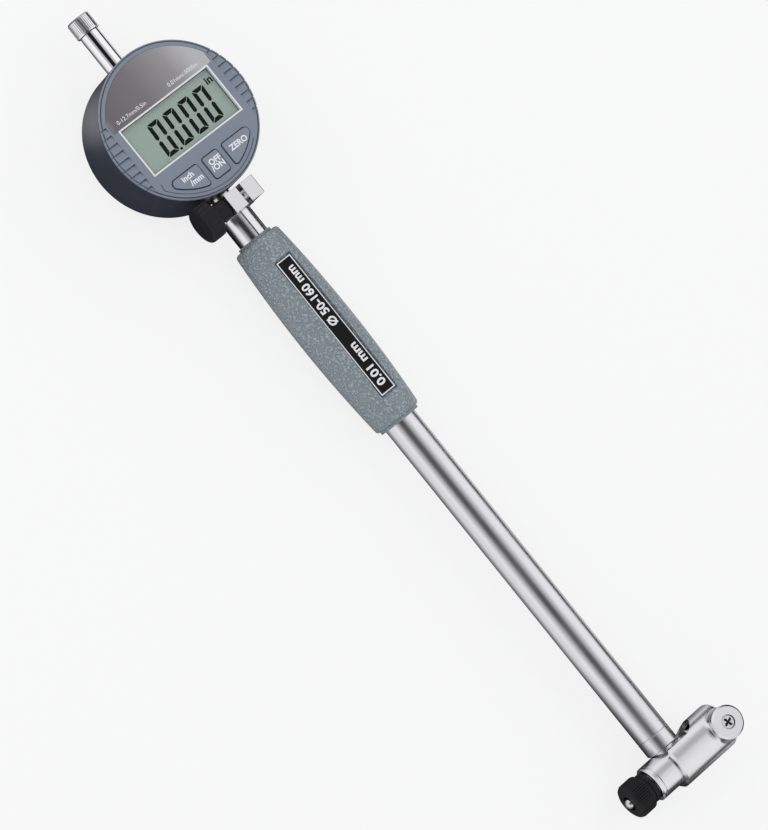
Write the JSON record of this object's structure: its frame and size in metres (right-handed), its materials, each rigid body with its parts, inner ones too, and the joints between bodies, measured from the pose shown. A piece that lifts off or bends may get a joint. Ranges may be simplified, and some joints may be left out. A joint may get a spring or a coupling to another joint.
{
  "type": "digital bore gauge",
  "caption": "Long-handled bore gauge with a round digital indicator, a cross measuring head, a sprung contact and a roller bridge that centres it.",
  "frame": {"origin": "middle of the bounding box, on the surface that the gauge lies on", "axes": "+Y along the tube from the measuring head to the indicator; +Z the way the display faces; +X along the measuring axis from the fixed anvil to the moving contact"},
  "size_m": [0.06, 0.3552, 0.0337],
  "materials": {
    "satin_tube": "satin",
    "satin_chrome": "satin",
    "bright_chrome": "polished",
    "ground_steel": "ground",
    "spring_steel": "bright drawn",
    "brass": "plain",
    "nut_black": "moulded",
    "knob_black": "moulded",
    "grip_paint": "crinkle paint",
    "label_black": "satin",
    "case_slate": "fine texture",
    "bezel_slate": "fine texture",
    "cover_slate": "fine texture",
    "button_slate": "satin",
    "face_grey": "satin metallic",
    "frame_white": "gloss",
    "window_clear": "clear",
    "lcd_grey": "liquid crystal",
    "board_green": "solder mask",
    "rubber_dark": "plain",
    "scale_strip": "plain"
  },
  "bodies": {
    "gauge": {"head_body": "satin_chrome", "tube_collar": "satin_chrome", "anvil_rod": "ground_steel", "crank_pin": "ground_steel", "guide_bush": "brass", "stop_screw": "ground_steel", "contact_spring": "spring_steel", "bridge_spring": "spring_steel", "main_tube": "satin_tube", "stem_holder": "satin_chrome", "handle_grip": "grip_paint", "label_plate": "label_black", "clamp_collar": "bright_chrome"},
    "indicator": {"front_bezel": "bezel_slate", "rear_case": "case_slate", "back_cover": "cover_slate", "cover_screws": "ground_steel", "face_plate": "face_grey", "lcd_frame": "frame_white", "lcd_window": "window_clear", "lcd_panel": "lcd_grey", "circuit_board": "board_green", "zebra_strips": "rubber_dark", "battery": "bright_chrome", "battery_contact": "brass", "button_pad": "rubber_dark", "stem": "ground_steel", "upper_tube": "bright_chrome", "spindle_spring": "spring_steel"},
    "contact": {"contact_plunger": "ground_steel"},
    "crank": {"bell_crank": "ground_steel"},
    "push_rod": {"push_rod": "ground_steel"},
    "spindle": {"spindle": "ground_steel", "spindle_tip": "ground_steel", "scale_plate": "scale_strip"},
    "bridge": {"bridge": "satin_chrome", "roller_screw_near": "ground_steel", "roller_screw_far": "ground_steel"},
    "roller_near": {"roller_near": "satin_chrome"},
    "roller_far": {"roller_far": "satin_chrome"},
    "lock_nut": {"lock_nut": "nut_black"},
    "clamp_knob": {"clamp_knob": "knob_black", "clamp_screw": "ground_steel"},
    "button_unit": {"button_unit": "button_slate"},
    "button_power": {"button_power": "button_slate"},
    "button_zero": {"button_zero": "button_slate"},
    "upper_cap": {"upper_cap": "bright_chrome"},
    "battery_cap": {"battery_cap": "cover_slate"}
  },
  "joints": [
    {"name": "contact_slide", "type": "slide", "parent": "gauge", "child": "contact", "axis": [-1, 0, 0], "range_m": [0, 0.0016], "stiffness_N_per_m": 800, "springref_m": -0.003, "deforming": ["contact_spring"]},
    {"name": "crank_turn", "type": "hinge", "parent": "gauge", "child": "crank", "pos_m": [0.0036, -0.1648, 0.0126], "axis": [0, 0, 1], "range_deg": [-25.6, 0]},
    {"name": "push_rod_slide", "type": "slide", "parent": "gauge", "child": "push_rod", "axis": [0, 1, 0], "range_m": [0, 0.0016]},
    {"name": "indicator_swivel", "type": "hinge", "parent": "gauge", "child": "indicator", "pos_m": [0, 0.0902, 0.0126], "axis": [0, 1, 0], "range_deg": [0, 180]},
    {"name": "spindle_lift", "type": "slide", "parent": "indicator", "child": "spindle", "axis": [0, 1, 0], "range_m": [0, 0.0016], "deforming": ["spindle_spring"]},
    {"name": "bridge_slide", "type": "slide", "parent": "gauge", "child": "bridge", "axis": [-1, 0, 0], "range_m": [0, 0.0025], "stiffness_N_per_m": 1200, "springref_m": -0.004, "deforming": ["bridge_spring"]},
    {"name": "roller_near_spin", "type": "hinge", "parent": "bridge", "child": "roller_near", "pos_m": [0.0212, -0.1684, 0.0237], "axis": [0, 0, 1], "continuous": true},
    {"name": "roller_far_spin", "type": "hinge", "parent": "bridge", "child": "roller_far", "pos_m": [0.0212, -0.1684, 0.0015], "axis": [0, 0, 1], "continuous": true},
    {"name": "lock_nut_turn", "type": "hinge", "parent": "gauge", "child": "lock_nut", "pos_m": [-0.018, -0.1684, 0.0126], "axis": [1, 0, 0], "range_deg": [0, 360]},
    {"name": "clamp_knob_turn", "type": "hinge", "parent": "gauge", "child": "clamp_knob", "pos_m": [-0.0126, 0.09005, 0.0266], "axis": [1, 0, 0], "range_deg": [0, 360]},
    {"name": "button_unit_press", "type": "slide", "parent": "indicator", "child": "button_unit", "axis": [0, 0, -1], "range_m": [0, 0.0005], "stiffness_N_per_m": 400, "springref_m": -0.001},
    {"name": "button_power_press", "type": "slide", "parent": "indicator", "child": "button_power", "axis": [0, 0, -1], "range_m": [0, 0.0005], "stiffness_N_per_m": 400, "springref_m": -0.001},
    {"name": "button_zero_press", "type": "slide", "parent": "indicator", "child": "button_zero", "axis": [0, 0, -1], "range_m": [0, 0.0005], "stiffness_N_per_m": 400, "springref_m": -0.001},
    {"name": "upper_cap_turn", "type": "hinge", "parent": "indicator", "child": "upper_cap", "pos_m": [0, 0.1742, 0.0126], "axis": [0, 1, 0], "range_deg": [0, 360]},
    {"name": "battery_cap_turn", "type": "hinge", "parent": "indicator", "child": "battery_cap", "pos_m": [0, 0.1332, 0.0008], "axis": [0, 0, 1], "range_deg": [0, 45]}
  ],
  "couplings": [
    {"joint": "crank_turn", "follows": "contact_slide", "rad_per_m": -277.78},
    {"joint": "push_rod_slide", "follows": "contact_slide", "ratio": 1},
    {"joint": "spindle_lift", "follows": "contact_slide", "ratio": 1}
  ]
}
